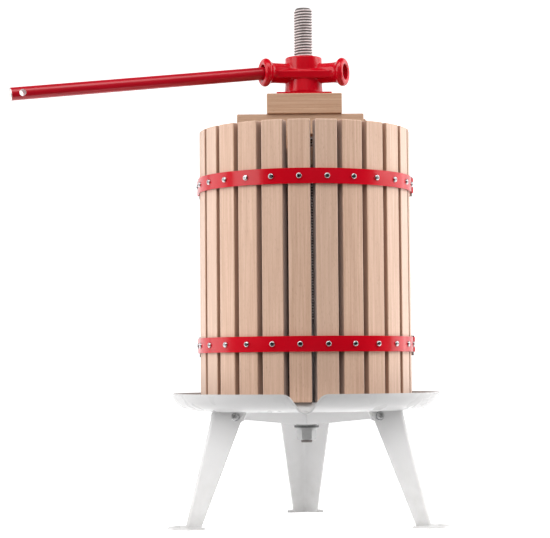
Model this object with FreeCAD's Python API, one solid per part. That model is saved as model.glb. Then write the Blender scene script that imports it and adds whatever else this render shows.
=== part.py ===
import FreeCAD
import Part
import math
import os
from FreeCAD import Vector

# Fruit press: slatted basket on a three-legged drip tray, pressed by a hub on a threaded spindle.
# Millimetres, +Z up. The origin is the spindle axis at floor level, the tray's spout points to -Y.

os.makedirs("parts", exist_ok=True)

# Running and resting gaps
slide_gap = 0.3
pin_gap = 0.07
screw_gap = 0.05

# A cutter reaches this far past what it cuts
past = 1.0
far_past = 20.0

# Legs and frame
frame_top = 169.0
boss_length = 32.6
boss_r = 15.5
arm_width = 30.0
arm_depth_hub = 20.0
arm_depth_leg = 7.0
arm_sheet = 2.5
leg_angles = {"front_left": 210.0, "front_right": 330.0, "rear": 90.0}
leg_sheet = 2.5
leg_half_angle = 53.0
leg_face_top = 49.0
leg_face_foot = 23.0
leg_inset = 2.0
leg_splay = 42.4
leg_ridge_round = 9.0
flange_sheet = 3.0
flange_overhang = 3.0
flange_height = 13.5
flange_corner = 4.0
foot_back = 17.0
foot_straight = 25.0
foot_point = 14.0
foot_half_width = 27.0
foot_tip_half_width = 8.0
foot_round = 6.0
foot_hole_r = 4.5
foot_tip_hole_edge = 10.4
foot_side_hole_edge = 8.0
foot_side_hole_back = 7.0

# Bolts that hold the legs
bolt_r = 3.0
bolt_hole_gap = 0.3
bolt_head_r = 5.5
bolt_head_height = 3.5
bolt_washer_r = 6.2
bolt_washer_sheet = 1.2
bolt_nut_flats = 10.0
bolt_nut_height = 5.0
bolt_tip = 2.0
bolt_cross_width = 1.2
bolt_cross_length = 6.8
bolt_head_dome = 0.6
bolt_inset = 10.0
bolt_drop = 6.8

# Drip tray
tray_sheet = 2.0
basket_overhang = 9.7
tray_drop = 11.0
tray_floor_arc_r = 70.0
tray_floor_arc_deg = 20.0
gutter_width = 39.5
tray_rim_rise = 13.5
tray_fold_round = 3.0
tray_fall_deg = 45.0
spout_floor_r = 11.4
spout_side_deg = 55.0
spout_shoulder_r = 14.0
spout_drop = 1.4
spout_reach = 3.5
spout_end_r = 70.0
tray_turn_deg = -1.35

# Spindle and its fasteners
pitch = 4.0
crest_r = 13.5
root_r = 11.7
root_flat = 1.2
crest_flat = 1.2
thread_gap = 0.35
thread_turns = 111
plain_length = 107.0
shank_r = 12.4
spindle_top_neck = 2.0
spindle_end_round = 2.4
spindle_end_step = 0.3
stud_r = 8.0
stud_out = 4.0
stud_chamfer = 1.2
tray_washer_r = 24.0
tray_washer_sheet = 3.0
stud_hole_gap = 0.5
flat_washer_r = 17.5
flat_washer_sheet = 3.0
spring_washer_r = 13.0
spring_washer_sheet = 4.0
spring_washer_slot = 2.0
stud_nut_flats = 24.0
stud_nut_height = 13.0
stud_nut_chamfer = 1.6

# Basket
slat_count = 25
slat_first_deg = -3.8
slat_gap = 2.5
joint_room_deg = 2.1
joint_room_right = 0.97
slat_thickness = 20.0
slat_outer_r = 148.7
slat_height = 381.6
slat_edge = 1.5
band_sheet = 2.5
band_height = 21.0
lower_band_rise = 68.0
upper_band_drop = 66.9
band_gap = 0.02
knuckle_r = 3.6
knuckle_gap = 0.3
knuckle_out = 0.5
pin_r = 2.0
pin_tip = 5.0
pin_head_r = 3.2
pin_head_height = 2.2
screw_r = 2.0
screw_depth = 14.0
screw_head_r = 3.85
screw_head_height = 2.5
cross_width = 0.9
cross_length = 4.2
cross_depth = 1.5
screw_head_dome = 0.7
screw_tip_gap = 1.0

# Press head
board_gap = 3.0
board_thickness = 25.0
board_depth = 61.2
board_notch_gap = 2.0
board_edge = 2.0
block_height = 28.7
block_notch_gap = 1.0
block_edge = 1.5
side_block_gap = 1.5
lower_block_width = 40.0
lower_block_length = 180.0
middle_block_length = 178.0
middle_block_width = 27.0
middle_block_shift = -5.9
top_block_length = 105.5
top_block_depth = 46.0
plate_side = 78.0
plate_sheet = 3.0
plate_corner = 2.0

# Hub and bar
hub_r = 26.3
hub_height = 54.0
hub_bottom_round = 7.0
hub_top_round = 2.0
socket_axis_rise = 30.5
socket_bend_deg = 21.0
socket_r = 14.0
socket_mouth_r = 64.0
socket_bore_r = 11.2
socket_depth = 35.0
bead_outer_r = 20.3
bead_wire_r = 5.5
web_depth = 29.1
web_reach = 50.0
web_inset = 0.4
web_below = 9.0
web_above = 2.0
bar_r = 9.0
bar_length = 395.0
bar_seat = 30.0
bar_tilt_deg = 7.3
bar_edge = 1.0
bar_hole_r = 4.75
bar_hole_inset = 16.0

UP = Vector(0, 0, 1)
FULL = 2 * math.pi
BIG = 1000.0


def cylinder(r, z0, z1, x=0.0, y=0.0):
    return Part.makeCylinder(r, z1 - z0, Vector(x, y, z0), UP)


def tube(r_in, r_out, z0, z1, x=0.0, y=0.0):
    return cylinder(r_out, z0, z1, x, y).cut(cylinder(r_in, z0 - past, z1 + past, x, y))


def box(x0, x1, y0, y1, z0, z1):
    return Part.makeBox(x1 - x0, y1 - y0, z1 - z0, Vector(x0, y0, z0))


def hexagon(flats, z0, z1):
    corner_r = flats / math.sqrt(3)
    corners = [Vector(corner_r * math.cos(math.radians(60 * k)),
                      corner_r * math.sin(math.radians(60 * k)), z0) for k in range(7)]
    return Part.Face(Part.makePolygon(corners)).extrude(Vector(0, 0, z1 - z0))


def sector(r0, r1, z0, z1, from_deg, to_deg):
    """Ring segment between two azimuths, counted from +X."""
    corners = [Vector(r0, 0, z0), Vector(r1, 0, z0), Vector(r1, 0, z1), Vector(r0, 0, z1), Vector(r0, 0, z0)]
    piece = Part.Face(Part.makePolygon(corners)).revolve(Vector(0, 0, 0), UP, to_deg - from_deg)
    return turned(piece, from_deg)


def turned(shape, degrees):
    out = shape.copy()
    out.rotate(Vector(0, 0, 0), UP, degrees)
    return out


def placed(shape, origin, direction):
    """Moves a shape built along +Z so that +Z points along direction and its origin sits at origin."""
    out = shape.copy()
    out.Placement = FreeCAD.Placement(origin, FreeCAD.Rotation(UP, direction)).multiply(out.Placement)
    return out


def solid_from(faces):
    shell = Part.makeCompound(faces)
    shell.sewShape(1e-3)
    solid = Part.Solid(shell.Shells[0])
    if solid.Volume < 0:
        solid.reverse()
    return solid


def clean(shape):
    """One plain solid, without the leftovers of a boolean."""
    out = shape.removeSplitter()
    return out.Solids[0] if len(out.Solids) == 1 else out


def save(node, shape):
    shape.exportStep("parts/" + node + ".step")


# Places and fits that follow from the sizes above
slat_inner_r = slat_outer_r - slat_thickness
slat_pitch_deg = 360 / slat_count
slat_width = 2 * slat_inner_r * math.tan(math.radians(slat_pitch_deg / 2)) - slat_gap
front_count = (slat_count + 1) // 2
rear_count = slat_count - front_count
last_front = slat_count // 4
front_middle_deg = -90 + slat_first_deg
junction_right_deg = front_middle_deg + (last_front + 0.5) * slat_pitch_deg
junction_left_deg = junction_right_deg - front_count * slat_pitch_deg
rear_pitch_deg = slat_pitch_deg - joint_room_deg / rear_count
tray_plateau_r = slat_outer_r - basket_overhang
gutter_r = tray_plateau_r + tray_drop / math.tan(math.radians(tray_fall_deg))
tray_rim_r = gutter_r + gutter_width
leg_ridge_r_top = gutter_r + leg_inset
leg_ridge_r_foot = leg_ridge_r_top + leg_splay
foot_back_r = leg_ridge_r_foot - foot_back
foot_side_r = foot_back_r + foot_straight
foot_tip_r = foot_side_r + foot_point
bolt_hole_r = bolt_r + bolt_hole_gap
stud_hole_r = stud_r + stud_hole_gap
block_notch_r = crest_r + block_notch_gap
board_notch_r = crest_r + board_notch_gap
side_block_near = crest_r + side_block_gap
board_r = slat_inner_r - board_gap
tray_top = frame_top + tray_sheet
gutter_bottom = frame_top - tray_drop
arm_top = gutter_bottom
leg_top = gutter_bottom
tray_rim_z = frame_top + tray_rim_rise
boss_bottom = frame_top - boss_length
spindle_seat = tray_top + tray_washer_sheet
washers_bottom = boss_bottom - flat_washer_sheet - spring_washer_sheet
stud_tip_z = washers_bottom - stud_nut_height - stud_out
thread_start_z = spindle_seat + plain_length
slat_top = tray_top + slat_height
lower_band_z = tray_top + lower_band_rise
upper_band_z = slat_top - upper_band_drop - band_height
board_bottom_z = slat_top - board_depth
board_top = board_bottom_z + board_thickness
plate_bottom = board_top + 3 * block_height
plate_top = plate_bottom + plate_sheet
hub_top = plate_top + hub_height
socket_axis_z = plate_top + socket_axis_rise


# Legs: folded sheet, a V that opens to the spindle and leans outward to the foot
half_cos = math.cos(math.radians(leg_half_angle))
half_sin = math.sin(math.radians(leg_half_angle))


def ridge_r(z):
    return leg_ridge_r_foot + (leg_ridge_r_top - leg_ridge_r_foot) * z / leg_top


def face_width(z):
    return leg_face_foot + (leg_face_top - leg_face_foot) * z / leg_top


def v_outline(z, near, far, wider):
    """Corners of a V section at height z, between two depths below its outer faces."""
    width = face_width(z) + wider
    out = []
    for depth, side in ((near, 1), (near, 0), (near, -1), (far, -1), (far, 0), (far, 1)):
        if side == 0:
            out.append(Vector(ridge_r(z) - depth / half_sin, 0, z))
        else:
            out.append(Vector(ridge_r(z) - width * half_cos - depth * half_sin,
                              side * (width * half_sin - depth * half_cos), z))
    return out


def v_solid(z0, z1, near, far, wider=0.0):
    low = v_outline(z0, near, far, wider)
    high = v_outline(z1, near, far, wider)
    faces = [Part.Face(Part.makePolygon(low + low[:1])), Part.Face(Part.makePolygon(high + high[:1]))]
    for k in range(len(low)):
        n = (k + 1) % len(low)
        faces.append(Part.Face(Part.makePolygon([low[k], low[n], high[n], high[k], low[k]])))
    return solid_from(faces)


def inside_v(z0, z1, depth):
    """The wedge on the spindle's side of a V surface that lies depth below the outer faces."""
    rings = []
    for z in (z0, z1):
        reach = face_width(z) + far_past
        tip = Vector(ridge_r(z) - depth / half_sin, 0, z)
        back = tip.x - reach * half_cos
        rings.append([tip, Vector(back, reach * half_sin, z), Vector(0, reach * half_sin, z),
                      Vector(0, -reach * half_sin, z), Vector(back, -reach * half_sin, z)])
    low, high = rings
    faces = [Part.Face(Part.makePolygon(low + low[:1])), Part.Face(Part.makePolygon(high + high[:1]))]
    for k in range(len(low)):
        n = (k + 1) % len(low)
        faces.append(Part.makeRuledSurface(Part.makeLine(low[k], low[n]), Part.makeLine(high[k], high[n])))
    return solid_from(faces)


def round_ridge(shape, depth, radius, z0, z1):
    """Rounds the ridge that lies depth below the outer faces, between two heights."""
    ends = [Vector(ridge_r(z) - depth / half_sin, 0, z) for z in (z0, z1)]
    ridge = [e for e in shape.Edges if len(e.Vertexes) == 2
             and all(min(v.Point.distanceToPoint(p) for v in e.Vertexes) < 0.01 for p in ends)]
    return shape.makeFillet(radius, ridge)


def bolt_frames():
    """Where the two bolts of one leg sit: a point on the outer face and the face's outward normal."""
    z = leg_top - bolt_drop
    along_ridge = Vector(leg_ridge_r_top - leg_ridge_r_foot, 0, leg_top)
    out = []
    for side in (1, -1):
        along_face = Vector(-half_cos, side * half_sin, 0)
        point = Vector(ridge_r(z), 0, z) + along_face * (face_width(z) - bolt_inset)
        normal = along_face.cross(along_ridge) * -side
        normal.normalize()
        if normal.x < 0:
            normal = normal * -1
        out.append((point, normal))
    return out


face_lean = bolt_frames()[0][1].z
grip = (leg_sheet + flange_sheet) * math.sqrt(1 - face_lean ** 2)


def bolt_hole():
    return cylinder(bolt_hole_r, -far_past, far_past)


def leg():
    out = v_solid(0, leg_top, 0, leg_sheet)
    out = round_ridge(out, 0, leg_ridge_round, 0, leg_top)
    out = round_ridge(out, leg_sheet, leg_ridge_round - leg_sheet, 0, leg_top)
    outline = [Vector(foot_back_r, -foot_half_width, 0), Vector(foot_side_r, -foot_half_width, 0),
               Vector(foot_tip_r, -foot_tip_half_width, 0), Vector(foot_tip_r, foot_tip_half_width, 0),
               Vector(foot_side_r, foot_half_width, 0), Vector(foot_back_r, foot_half_width, 0)]
    foot = Part.Face(Part.makePolygon(outline + outline[:1])).extrude(Vector(0, 0, leg_sheet))
    upright = [e for e in foot.Edges if e.BoundBox.ZLength > leg_sheet / 2
               and e.BoundBox.XMin > foot_back_r + foot_straight / 2]
    foot = foot.makeFillet(foot_round, upright)
    foot = foot.cut(inside_v(-past, leg_sheet + past, leg_sheet / 2))
    out = out.fuse(foot)
    holes = [cylinder(foot_hole_r, -past, leg_sheet + past, foot_tip_r - foot_tip_hole_edge, 0)]
    side_x = foot_side_r - foot_side_hole_back
    side_y = foot_half_width - foot_side_hole_edge
    for side in (1, -1):
        holes.append(cylinder(foot_hole_r, -past, leg_sheet + past, side_x, side * side_y))
    holes += [placed(bolt_hole(), point, normal) for point, normal in bolt_frames()]
    return clean(out.cut(holes))


# Frame: boss with three channel arms, each ending in a V flange inside its leg
def arm_profile(inset, z_up):
    reach = leg_ridge_r_top
    low_leg = arm_top - arm_depth_leg - z_up
    low_hub = arm_top - arm_depth_hub - z_up
    return [Vector(0, 0, arm_top - inset), Vector(reach, 0, arm_top - inset), Vector(reach, 0, low_leg),
            Vector(boss_r, 0, low_hub), Vector(0, 0, low_hub)]


def arm_bar(inset, z_up, width):
    outline = arm_profile(inset, z_up)
    face = Part.Face(Part.makePolygon(outline + outline[:1]))
    face.translate(Vector(0, -width / 2, 0))
    return face.extrude(Vector(0, width, 0))


def v_flange():
    low = leg_top - flange_height
    out = v_solid(low, leg_top, leg_sheet, leg_sheet + flange_sheet, flange_overhang)
    out = round_ridge(out, leg_sheet, leg_ridge_round - leg_sheet, low, leg_top)
    lower = []
    for edge in out.Edges:
        middle = edge.BoundBox.Center
        if edge.BoundBox.ZLength < 0.01 and abs(middle.z - low) < 0.01:
            if abs(middle.y) > 0.8 * out.BoundBox.YMax and edge.Length < 1.5 * flange_sheet:
                lower.append(edge)
    out = out.makeFillet(flange_corner, lower)
    return out.cut([placed(bolt_hole(), point, normal) for point, normal in bolt_frames()])


def underframe():
    ends = inside_v(arm_top - arm_depth_hub - past, arm_top + past, leg_sheet + flange_sheet / 2)
    bar = arm_bar(0, 0, arm_width).common(ends)
    hollow = arm_bar(arm_sheet, far_past, arm_width - 2 * arm_sheet)
    flange = v_flange()
    bars = [turned(bar, a) for a in leg_angles.values()]
    out = bars[0].fuse(bars[1:])
    out = out.cut([turned(hollow.common(ends), a) for a in leg_angles.values()])
    out = out.fuse([turned(flange, a) for a in leg_angles.values()])
    out = out.fuse(cylinder(boss_r, boss_bottom, frame_top))
    return clean(out.cut(cylinder(stud_hole_r, boss_bottom - past, frame_top + past)))


def leg_bolt():
    """Pan-head bolt along +Z, its washer's outer face at z = bolt_washer_sheet."""
    under = bolt_washer_sheet
    shank = cylinder(bolt_r, -grip - bolt_nut_height - bolt_tip, under + bolt_head_height / 4)
    head = cylinder(bolt_head_r, under, under + bolt_head_height)
    top = [e for e in head.Edges if abs(e.BoundBox.ZMin - under - bolt_head_height) < 0.01]
    head = head.makeFillet(bolt_head_height * bolt_head_dome, top)
    out = head.fuse(shank)
    z = under + bolt_head_height
    half = bolt_cross_length / 2
    cross = box(-half, half, -bolt_cross_width / 2, bolt_cross_width / 2, z - cross_depth, z + past)
    return clean(out.cut([cross, turned(cross, 90)]))


def bolt_washer():
    return tube(bolt_r + slide_gap, bolt_washer_r, 0, bolt_washer_sheet)


def bolt_nut():
    top = -grip
    body = hexagon(bolt_nut_flats, top - bolt_nut_height, top)
    return body.cut(cylinder(bolt_r + screw_gap, top - bolt_nut_height - past, top + past))


def on_all_legs(shape):
    out = []
    for angle in leg_angles.values():
        for point, normal in bolt_frames():
            out.append(turned(placed(shape, point, normal), angle))
    return Part.makeCompound(out)


# Drip tray: a dished pan with a raised middle, and a trough pressed through its rim at the front
def tray_underside(lift):
    """Outline of the pan's underside from the axis to the rim, moved lift towards the inside."""
    arc_deg = math.radians(tray_floor_arc_deg)
    slope = lift * math.tan(math.radians(tray_fall_deg / 2))
    floor_center = Vector(gutter_r, 0, gutter_bottom + tray_floor_arc_r)
    floor_r = tray_floor_arc_r - lift
    start = Vector(gutter_r + slope, 0, floor_center.z - math.sqrt(floor_r ** 2 - slope ** 2))
    end_dir = Vector(math.sin(arc_deg), 0, -math.cos(arc_deg))
    mid_dir = Vector(math.sin(arc_deg / 2), 0, -math.cos(arc_deg / 2))
    end = floor_center + end_dir * floor_r
    joint = floor_center + end_dir * tray_floor_arc_r
    dx = tray_rim_r - joint.x
    dz = tray_rim_z - joint.z
    wall_r = (dx ** 2 + dz ** 2) / (2 * (dz * math.cos(arc_deg) - dx * math.sin(arc_deg)))
    wall_center = joint - end_dir * wall_r
    rim_angle = math.atan2(tray_rim_z - wall_center.z, tray_rim_r - wall_center.x)
    r = wall_r - lift
    first = arc_deg - math.pi / 2
    half = (first + rim_angle) / 2
    rim = wall_center + Vector(math.cos(rim_angle), 0, math.sin(rim_angle)) * r
    bend = wall_center + Vector(math.cos(half), 0, math.sin(half)) * r
    shoulder = Vector(tray_plateau_r + slope, 0, frame_top + lift)
    top_z = tray_rim_z + (past if lift else 0)
    edges = [Part.makeLine(Vector(0, 0, frame_top + lift), shoulder),
             Part.makeLine(shoulder, start),
             Part.Arc(start, floor_center + mid_dir * floor_r, end).toShape(),
             Part.Arc(end, bend, rim).toShape()]
    last = rim
    if top_z - rim.z > 1e-6:
        last = Vector(rim.x, 0, top_z)
        edges.append(Part.makeLine(rim, last))
    edges.append(Part.makeLine(last, Vector(0, 0, top_z)))
    edges.append(Part.makeLine(Vector(0, 0, top_z), Vector(0, 0, frame_top + lift)))
    return Part.Face(Part.Wire(edges))


def tray_bowl(lift):
    bowl = tray_underside(lift).revolve(Vector(0, 0, 0), UP, 360)
    folds = []
    for edge in bowl.Edges:
        b = edge.BoundBox
        at_plateau = abs(b.ZMin - frame_top - lift) < 0.01 and b.XLength > 1.8 * tray_plateau_r
        if b.ZLength < 0.01 and at_plateau:
            folds.append(edge)
    return bowl.makeFillet(tray_fold_round - lift if lift else tray_fold_round, folds)


def spout_trough(lift, y_from, y_to):
    """Solid inside the trough's surface: round floor, sloping sides, shoulders that level out at the rim."""
    side = math.radians(spout_side_deg)
    floor_z = gutter_bottom - spout_drop
    floor_center_z = floor_z + tray_sheet + spout_floor_r
    r = spout_floor_r + tray_sheet - lift
    top_z = tray_rim_z + (far_past if lift else 0)
    shoulder_r = spout_shoulder_r + lift
    shoulder_z = tray_rim_z - tray_sheet + lift - shoulder_r
    low = Vector(r * math.sin(side), 0, floor_center_z - r * math.cos(side))
    high_z = shoulder_z + shoulder_r * math.cos(side)
    high = Vector(low.x + (high_z - low.z) / math.tan(side), 0, high_z)
    center_x = high.x + shoulder_r * math.sin(side)
    half = side / 2
    bend = Vector(center_x - shoulder_r * math.sin(half), 0, shoulder_z + shoulder_r * math.cos(half))
    level = Vector(center_x, 0, shoulder_z + shoulder_r)
    top = Vector(center_x, 0, top_z)

    def mirrored(v):
        return Vector(-v.x, v.y, v.z)

    edges = [Part.Arc(mirrored(low), Vector(0, 0, floor_center_z - r), low).toShape(),
             Part.makeLine(low, high),
             Part.Arc(high, bend, level).toShape(),
             Part.makeLine(level, top),
             Part.makeLine(top, mirrored(top)),
             Part.makeLine(mirrored(top), mirrored(level)),
             Part.Arc(mirrored(level), mirrored(bend), mirrored(high)).toShape(),
             Part.makeLine(mirrored(high), mirrored(low))]
    face = Part.Face(Part.Wire(edges))
    face.translate(Vector(0, y_to, 0))
    return face.extrude(Vector(0, y_from - y_to, 0))


def drip_tray():
    lip_y = -tray_rim_r - spout_reach
    end = cylinder(spout_end_r, gutter_bottom - far_past, tray_rim_z + past, 0, lip_y + spout_end_r)
    trough = spout_trough(0, -gutter_r, lip_y - past).common(end)
    channel = spout_trough(tray_sheet, -gutter_r - tray_sheet, lip_y - past)
    outside = tray_bowl(0).fuse(trough)
    out = outside.cut([tray_bowl(tray_sheet), channel])
    out = clean(out.cut(cylinder(stud_hole_r, frame_top - past, tray_top + past)))
    return turned(out, tray_turn_deg)


# Spindle
def curve(r, z, rise):
    """One full turn of a helix, or a circle when rise is 0, as a spline with exact end directions."""
    spans = 12
    angles = [FULL * k / spans for k in range(spans + 1)]
    slope = rise / FULL
    points = [Vector(r * math.cos(a), r * math.sin(a), z + slope * a) for a in angles]
    ends = [Vector(-r * math.sin(a), r * math.cos(a), slope) for a in (0, FULL)]
    out = Part.BSplineCurve()
    out.interpolate(Points=points, Parameters=angles, InitialTangent=ends[0], FinalTangent=ends[1],
                    Scale=False)
    return out


def band_face(low, high, a, b):
    return Part.makeRuledSurface(low.toShape(a, b), high.toShape(a, b))


def threaded_rod(root, crest, root_land, crest_land, z_start, turns, below, above):
    """Rod with a right-hand trapezoid thread and plain necks of root radius at both ends."""
    flank = (pitch - root_land - crest_land) / 2
    zs = [0, root_land, root_land + flank, root_land + flank + crest_land, pitch]
    rs = [root, root, crest, crest, root]
    helices = [curve(r, z_start + z, pitch) for r, z in zip(rs, zs)]
    halves = [(0, FULL / 2), (FULL / 2, FULL)]
    strips = [band_face(helices[k], helices[k + 1], a, b) for k in range(4) for a, b in halves]
    faces = []
    for turn in range(turns):
        for strip in strips:
            copy = strip.copy()
            copy.translate(Vector(0, 0, turn * pitch))
            faces.append(copy)
    z_end = z_start + turns * pitch
    bottom = curve(root, z_start - below, 0)
    top = curve(root, z_end + pitch + above, 0)
    last = curve(root, z_end, pitch)
    for a, b in halves:
        faces.append(band_face(bottom, helices[0], a, b))
        faces.append(band_face(last, top, a, b))
    for z in (z_start, z_end):
        tooth = [Vector(r, 0, z + dz) for r, dz in zip(rs, zs)][1:]
        faces.append(Part.Face(Part.makePolygon(tooth + tooth[:1])))
    for rim in (bottom, top):
        faces.append(Part.Face(Part.Wire([rim.toShape(a, b) for a, b in halves])))
    return solid_from(faces)


spindle_top = thread_start_z + pitch * (thread_turns + 1) + spindle_top_neck


def spindle():
    rod = threaded_rod(root_r, crest_r, root_flat, crest_flat, thread_start_z, thread_turns,
                       pitch, 0)
    cap = cylinder(root_r - spindle_end_step, spindle_top - spindle_top_neck - past, spindle_top)
    rim = [e for e in cap.Edges if abs(e.BoundBox.ZMin - spindle_top) < 0.01]
    cap = cap.makeFillet(spindle_end_round, rim)
    shank = cylinder(shank_r, spindle_seat, thread_start_z - pitch / 2)
    stud = cylinder(stud_r, stud_tip_z, spindle_seat + past)
    tip = [e for e in stud.Edges if abs(e.BoundBox.ZMax - stud_tip_z) < 0.01]
    stud = stud.makeChamfer(stud_chamfer, tip)
    plain = shank.fuse(stud)
    return clean(rod.fuse(plain).fuse(cap))


def spring_washer():
    ring = tube(stud_hole_r, spring_washer_r, washers_bottom, washers_bottom + spring_washer_sheet)
    return ring.cut(box(0, BIG, -spring_washer_slot / 2, spring_washer_slot / 2, 0, BIG))


def spindle_nut():
    bottom = washers_bottom - stud_nut_height
    body = hexagon(stud_nut_flats, bottom, washers_bottom)
    small_r = stud_nut_flats / math.sqrt(3) - stud_nut_chamfer
    cone = Part.makeCone(small_r, small_r + stud_nut_height, stud_nut_height, Vector(0, 0, bottom), UP)
    body = body.common(cone)
    return clean(body.cut(cylinder(stud_r + screw_gap, bottom - past, washers_bottom + past)))


# Basket
def slat_deg(k):
    """Azimuth of a slat from +X. Slat 0 stands at the front, the rear ones a little closer together."""
    rear_k = k - last_front
    if 1 <= rear_k <= rear_count:
        return junction_right_deg + joint_room_deg * joint_room_right + rear_pitch_deg * (rear_k - 0.5)
    return front_middle_deg + slat_pitch_deg * k


def slat():
    """One slat at azimuth 0, its outer face square to +X."""
    half = slat_width / 2
    out = box(slat_inner_r, slat_outer_r, -half, half, tray_top, slat_top)
    out = out.makeFillet(slat_edge, out.Edges)
    holes = []
    for z in (lower_band_z, upper_band_z):
        hole = cylinder(screw_r + screw_gap, 0, screw_depth + past)
        start = Vector(slat_outer_r - screw_depth, 0, z + band_height / 2)
        holes.append(placed(hole, start, Vector(1, 0, 0)))
    return clean(out.cut(holes))


corner_x = slat_outer_r - slat_edge
corner_y = slat_width / 2 - slat_edge
band_inner_r = math.hypot(corner_x, corner_y) + slat_edge + band_gap
band_outer_r = band_inner_r + band_sheet
knuckle_axis_r = band_inner_r + band_sheet / 2 + knuckle_out
knuckle_length = (band_height - 2 * knuckle_gap) / 3


def knuckle_place(deg):
    a = math.radians(deg)
    return knuckle_axis_r * math.cos(a), knuckle_axis_r * math.sin(a)


def half_band(z, from_deg, to_deg, outer_knuckles, slat_numbers):
    """Half of a band, with its share of the rolled knuckles at both ends."""
    setback = math.degrees((knuckle_r + 2 * knuckle_gap) / knuckle_axis_r)
    pieces = [sector(band_inner_r, band_outer_r, z, z + band_height, from_deg + setback, to_deg - setback)]
    bores = []
    for deg, inward in ((from_deg, setback), (to_deg, -setback)):
        x, y = knuckle_place(deg)
        bores.append(cylinder(pin_r + pin_gap, z - past, z + band_height + past, x, y))
        for third in ((0, 2) if outer_knuckles else (1,)):
            low = z + third * (knuckle_length + knuckle_gap)
            high = low + knuckle_length
            pieces.append(cylinder(knuckle_r, low, high, x, y))
            a, b = sorted((deg, deg + 2 * inward))
            pieces.append(sector(band_inner_r, band_outer_r, low, high, a, b))
    out = pieces[0].fuse(pieces[1:])
    for k in slat_numbers:
        a = math.radians(slat_deg(k))
        hole = cylinder(screw_r + screw_gap, slat_outer_r - slat_thickness, band_outer_r + past)
        middle = Vector(0, 0, z + band_height / 2)
        bores.append(placed(hole, middle, Vector(math.cos(a), math.sin(a), 0)))
    return clean(out.cut(bores))


def band_screw():
    """Pan-head screw along +X at azimuth 0, the band's middle at z = 0."""
    tip = slat_outer_r - band_outer_r - screw_depth + screw_tip_gap
    shank = cylinder(screw_r, tip, screw_head_height / 4)
    head = cylinder(screw_head_r, 0, screw_head_height)
    rim = [e for e in head.Edges if abs(e.BoundBox.ZMin - screw_head_height) < 0.01]
    head = head.makeFillet(screw_head_height * screw_head_dome, rim)
    out = head.fuse(shank)
    half = cross_length / 2
    z = screw_head_height
    cross = box(-half, half, -cross_width / 2, cross_width / 2, z - cross_depth, z + past)
    out = clean(out.cut([cross, turned(cross, 90)]))
    return placed(out, Vector(band_outer_r, 0, 0), Vector(1, 0, 0))


def band_screws(z):
    base = band_screw()
    base.translate(Vector(0, 0, z + band_height / 2))
    return Part.makeCompound([turned(base, slat_deg(k)) for k in range(slat_count)])


def hinge_pin(z, deg):
    x, y = knuckle_place(deg)
    shaft = cylinder(pin_r, z - pin_tip, z + band_height + pin_head_height / 4, x, y)
    head = cylinder(pin_head_r, z + band_height, z + band_height + pin_head_height, x, y)
    rim = [e for e in head.Edges if abs(e.BoundBox.ZMin - z - band_height - pin_head_height) < 0.01]
    return clean(head.makeFillet(pin_head_height / 2, rim).fuse(shaft))


# Press head
def board(front):
    disc = cylinder(board_r, board_bottom_z, board_top)
    y0, y1 = (-BIG, 0) if front else (0, BIG)
    half = disc.common(box(-BIG, BIG, y0, y1, board_bottom_z - past, board_top + past))
    half = half.cut(cylinder(board_notch_r, board_bottom_z - past, board_top + past))
    rims = [e for e in half.Edges if e.BoundBox.ZLength < 0.01 and e.BoundBox.XLength > 1.9 * board_r
            and e.BoundBox.YLength > 0.9 * board_r]
    return clean(half.makeFillet(board_edge, rims))


def block(x0, x1, y0, y1, layer):
    z = board_top + layer * block_height
    out = box(x0, x1, y0, y1, z, z + block_height)
    return out.makeFillet(block_edge, out.Edges)


def top_block(front):
    half = top_block_length / 2
    y0, y1 = (-top_block_depth, 0) if front else (0, top_block_depth)
    out = block(-half, half, y0, y1, 2)
    z = board_top + 2 * block_height
    return clean(out.cut(cylinder(block_notch_r, z - past, z + block_height + past)))


def lower_block(side):
    """Lies across the boards, clear of the spindle."""
    x0, x1 = sorted((side * side_block_near, side * (side_block_near + lower_block_width)))
    half = lower_block_length / 2
    return block(x0, x1, -half, half, 0)


def middle_block(front):
    """Lies across the lower blocks, clear of the spindle. The front one was laid off centre."""
    y0, y1 = -side_block_near - middle_block_width, -side_block_near
    x = middle_block_shift
    if not front:
        y0, y1, x = -y1, -y0, 0.0
    half = middle_block_length / 2
    return block(x - half, x + half, y0, y1, 1)


def press_plate():
    half = plate_side / 2
    out = box(-half, half, -half, half, plate_bottom, plate_top)
    corners = [e for e in out.Edges if e.BoundBox.ZLength > plate_sheet / 2]
    out = out.makeFillet(plate_corner, corners)
    return out.cut(cylinder(block_notch_r, plate_bottom - past, plate_top + past))


# Hub and bar
def socket_dir(side):
    a = math.radians(socket_bend_deg)
    return Vector(side * math.cos(a), -math.sin(a), 0)


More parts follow.
